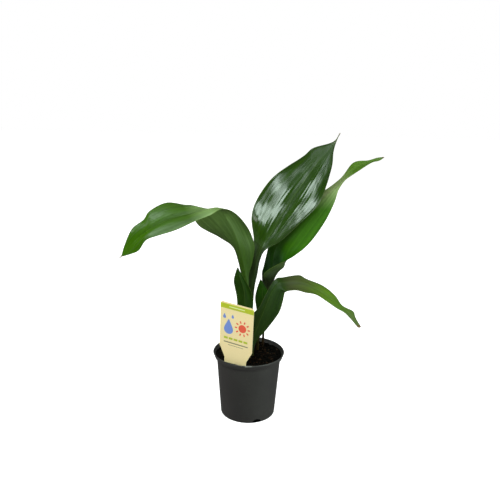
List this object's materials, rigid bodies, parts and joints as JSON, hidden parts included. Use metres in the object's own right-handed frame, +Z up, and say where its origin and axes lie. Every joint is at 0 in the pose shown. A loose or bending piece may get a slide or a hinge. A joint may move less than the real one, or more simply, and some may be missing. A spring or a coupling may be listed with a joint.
{
  "type": "potted cast iron plant",
  "caption": "Young cast iron plant with long arching leaves on thin stalks, standing in a tapered plastic nursery pot of soil with a care label.",
  "frame": {"origin": "centre of the pot's base, on the surface that it stands on", "axes": "+Z up, -Y towards the viewer of the picture, +X to the viewer's right"},
  "size_m": [0.4235, 0.2229, 0.4704],
  "materials": {
    "pot_plastic": "moulded charcoal polypropylene, satin",
    "potting_soil": "moist crumbly peat with bark fibres",
    "label_card": "printed kraft-coloured plastic sheet",
    "leaf": "leathery leaf, glossy above and dull below"
  },
  "bodies": {
    "root": {"pot": "pot_plastic", "soil": "potting_soil", "care_label": "label_card", "leaf_arching_left": "leaf", "leaf_tall": "leaf", "leaf_back_right": "leaf", "leaf_arching_right": "leaf", "leaf_short_front": "leaf", "leaf_small_inner": "leaf"}
  },
  "joints": []
}
